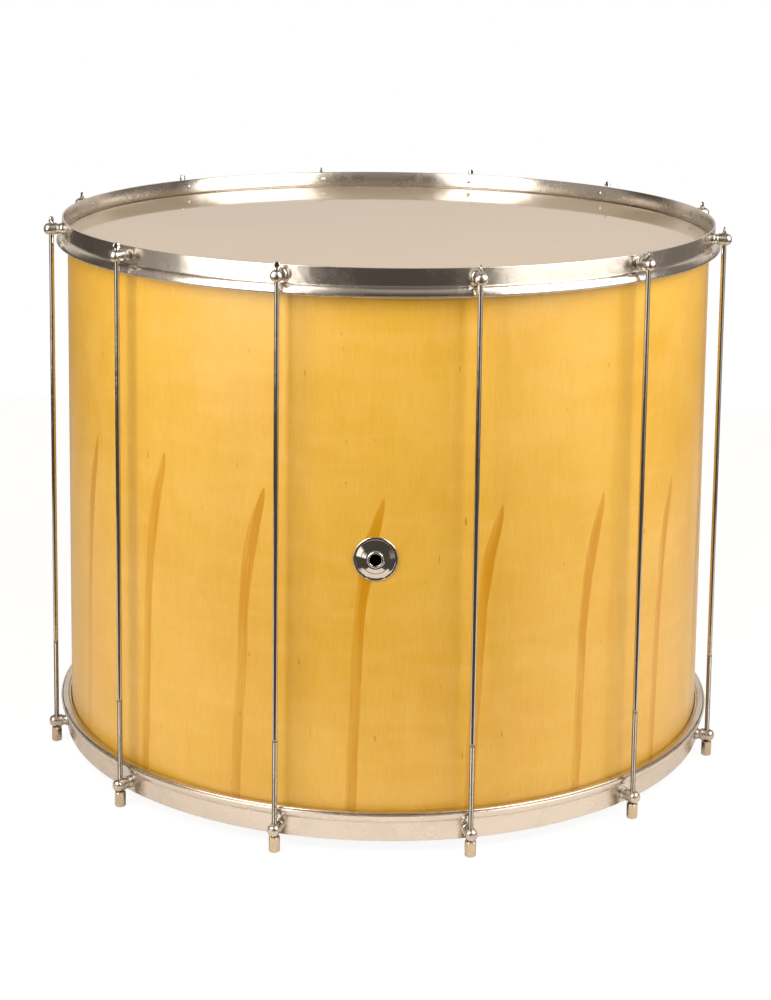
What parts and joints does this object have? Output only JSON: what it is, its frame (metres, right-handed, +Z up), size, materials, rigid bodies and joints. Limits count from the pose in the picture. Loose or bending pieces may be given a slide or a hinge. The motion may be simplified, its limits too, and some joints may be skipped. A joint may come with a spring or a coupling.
{
  "type": "surdo drum",
  "caption": "Low barrel drum with a lacquered wood shell, two film heads, pressed metal hoops, domed lugs and long tension rods tuned by nuts underneath.",
  "frame": {"origin": "on the drum's axis, at the level of the nuts' lower faces", "axes": "+Z up along the drum's axis through the top head; the vent faces -Y"},
  "size_m": [0.6298, 0.6298, 0.5038],
  "materials": {
    "wood": "golden lacquered plywood veneer, glossy",
    "film": "smooth glossy beige drumhead film",
    "chrome": "bright plated pressed steel with a warm cast",
    "aluminium": "drawn bright",
    "nickel": "bright plated turned steel",
    "brass": "pale brushed brass"
  },
  "bodies": {
    "drum": {"shell": "wood", "top_head": "film", "bottom_head": "film", "top_head_collar": "film", "bottom_head_collar": "film", "top_flesh_hoop": "aluminium", "bottom_flesh_hoop": "aluminium", "top_hoop": "chrome", "bottom_hoop": "chrome", "vent_eyelet": "chrome", "vent_washer": "nickel", "top_lug_01": "nickel", "top_lug_02": "nickel", "top_lug_03": "nickel", "top_lug_04": "nickel", "top_lug_05": "nickel", "top_lug_06": "nickel", "top_lug_07": "nickel", "top_lug_08": "nickel", "top_lug_09": "nickel", "top_lug_10": "nickel", "top_lug_11": "nickel", "top_lug_12": "nickel", "bottom_lug_01": "nickel", "bottom_lug_02": "nickel", "bottom_lug_03": "nickel", "bottom_lug_04": "nickel", "bottom_lug_05": "nickel", "bottom_lug_06": "nickel", "bottom_lug_07": "nickel", "bottom_lug_08": "nickel", "bottom_lug_09": "nickel", "bottom_lug_10": "nickel", "bottom_lug_11": "nickel", "bottom_lug_12": "nickel"},
    "rod_01": {"tension_rod_01": "nickel"},
    "nut_01": {"tuning_nut_01": "brass"},
    "rod_02": {"tension_rod_02": "nickel"},
    "nut_02": {"tuning_nut_02": "brass"},
    "rod_03": {"tension_rod_03": "nickel"},
    "nut_03": {"tuning_nut_03": "brass"},
    "rod_04": {"tension_rod_04": "nickel"},
    "nut_04": {"tuning_nut_04": "brass"},
    "rod_05": {"tension_rod_05": "nickel"},
    "nut_05": {"tuning_nut_05": "brass"},
    "rod_06": {"tension_rod_06": "nickel"},
    "nut_06": {"tuning_nut_06": "brass"},
    "rod_07": {"tension_rod_07": "nickel"},
    "nut_07": {"tuning_nut_07": "brass"},
    "rod_08": {"tension_rod_08": "nickel"},
    "nut_08": {"tuning_nut_08": "brass"},
    "rod_09": {"tension_rod_09": "nickel"},
    "nut_09": {"tuning_nut_09": "brass"},
    "rod_10": {"tension_rod_10": "nickel"},
    "nut_10": {"tuning_nut_10": "brass"},
    "rod_11": {"tension_rod_11": "nickel"},
    "nut_11": {"tuning_nut_11": "brass"},
    "rod_12": {"tension_rod_12": "nickel"},
    "nut_12": {"tuning_nut_12": "brass"}
  },
  "joints": [
    {"name": "nut_turn_01", "type": "hinge", "parent": "drum", "child": "nut_01", "pos_m": [0.30784, 0.08249, 0.00675], "axis": [0, 0, -1], "range_deg": [0, 1440]},
    {"name": "rod_lift_01", "type": "slide", "parent": "drum", "child": "rod_01", "axis": [0, 0, 1], "range_m": [0, 0.00423]},
    {"name": "nut_turn_02", "type": "hinge", "parent": "drum", "child": "nut_02", "pos_m": [0.22535, 0.22535, 0.00675], "axis": [0, 0, -1], "range_deg": [0, 1440]},
    {"name": "rod_lift_02", "type": "slide", "parent": "drum", "child": "rod_02", "axis": [0, 0, 1], "range_m": [0, 0.00423]},
    {"name": "nut_turn_03", "type": "hinge", "parent": "drum", "child": "nut_03", "pos_m": [0.08249, 0.30784, 0.00675], "axis": [0, 0, -1], "range_deg": [0, 1440]},
    {"name": "rod_lift_03", "type": "slide", "parent": "drum", "child": "rod_03", "axis": [0, 0, 1], "range_m": [0, 0.00423]},
    {"name": "nut_turn_04", "type": "hinge", "parent": "drum", "child": "nut_04", "pos_m": [-0.08249, 0.30784, 0.00675], "axis": [0, 0, -1], "range_deg": [0, 1440]},
    {"name": "rod_lift_04", "type": "slide", "parent": "drum", "child": "rod_04", "axis": [0, 0, 1], "range_m": [0, 0.00423]},
    {"name": "nut_turn_05", "type": "hinge", "parent": "drum", "child": "nut_05", "pos_m": [-0.22535, 0.22535, 0.00675], "axis": [0, 0, -1], "range_deg": [0, 1440]},
    {"name": "rod_lift_05", "type": "slide", "parent": "drum", "child": "rod_05", "axis": [0, 0, 1], "range_m": [0, 0.00423]},
    {"name": "nut_turn_06", "type": "hinge", "parent": "drum", "child": "nut_06", "pos_m": [-0.30784, 0.08249, 0.00675], "axis": [0, 0, -1], "range_deg": [0, 1440]},
    {"name": "rod_lift_06", "type": "slide", "parent": "drum", "child": "rod_06", "axis": [0, 0, 1], "range_m": [0, 0.00423]},
    {"name": "nut_turn_07", "type": "hinge", "parent": "drum", "child": "nut_07", "pos_m": [-0.30784, -0.08249, 0.00675], "axis": [0, 0, -1], "range_deg": [0, 1440]},
    {"name": "rod_lift_07", "type": "slide", "parent": "drum", "child": "rod_07", "axis": [0, 0, 1], "range_m": [0, 0.00423]},
    {"name": "nut_turn_08", "type": "hinge", "parent": "drum", "child": "nut_08", "pos_m": [-0.22535, -0.22535, 0.00675], "axis": [0, 0, -1], "range_deg": [0, 1440]},
    {"name": "rod_lift_08", "type": "slide", "parent": "drum", "child": "rod_08", "axis": [0, 0, 1], "range_m": [0, 0.00423]},
    {"name": "nut_turn_09", "type": "hinge", "parent": "drum", "child": "nut_09", "pos_m": [-0.08249, -0.30784, 0.00675], "axis": [0, 0, -1], "range_deg": [0, 1440]},
    {"name": "rod_lift_09", "type": "slide", "parent": "drum", "child": "rod_09", "axis": [0, 0, 1], "range_m": [0, 0.00423]},
    {"name": "nut_turn_10", "type": "hinge", "parent": "drum", "child": "nut_10", "pos_m": [0.08249, -0.30784, 0.00675], "axis": [0, 0, -1], "range_deg": [0, 1440]},
    {"name": "rod_lift_10", "type": "slide", "parent": "drum", "child": "rod_10", "axis": [0, 0, 1], "range_m": [0, 0.00423]},
    {"name": "nut_turn_11", "type": "hinge", "parent": "drum", "child": "nut_11", "pos_m": [0.22535, -0.22535, 0.00675], "axis": [0, 0, -1], "range_deg": [0, 1440]},
    {"name": "rod_lift_11", "type": "slide", "parent": "drum", "child": "rod_11", "axis": [0, 0, 1], "range_m": [0, 0.00423]},
    {"name": "nut_turn_12", "type": "hinge", "parent": "drum", "child": "nut_12", "pos_m": [0.30784, -0.08249, 0.00675], "axis": [0, 0, -1], "range_deg": [0, 1440]},
    {"name": "rod_lift_12", "type": "slide", "parent": "drum", "child": "rod_12", "axis": [0, 0, 1], "range_m": [0, 0.00423]}
  ],
  "couplings": [
    {"joint": "nut_turn_01", "follows": "rod_lift_01", "rad_per_m": 5938.7},
    {"joint": "nut_turn_02", "follows": "rod_lift_02", "rad_per_m": 5938.7},
    {"joint": "nut_turn_03", "follows": "rod_lift_03", "rad_per_m": 5938.7},
    {"joint": "nut_turn_04", "follows": "rod_lift_04", "rad_per_m": 5938.7},
    {"joint": "nut_turn_05", "follows": "rod_lift_05", "rad_per_m": 5938.7},
    {"joint": "nut_turn_06", "follows": "rod_lift_06", "rad_per_m": 5938.7},
    {"joint": "nut_turn_07", "follows": "rod_lift_07", "rad_per_m": 5938.7},
    {"joint": "nut_turn_08", "follows": "rod_lift_08", "rad_per_m": 5938.7},
    {"joint": "nut_turn_09", "follows": "rod_lift_09", "rad_per_m": 5938.7},
    {"joint": "nut_turn_10", "follows": "rod_lift_10", "rad_per_m": 5938.7},
    {"joint": "nut_turn_11", "follows": "rod_lift_11", "rad_per_m": 5938.7},
    {"joint": "nut_turn_12", "follows": "rod_lift_12", "rad_per_m": 5938.7}
  ]
}
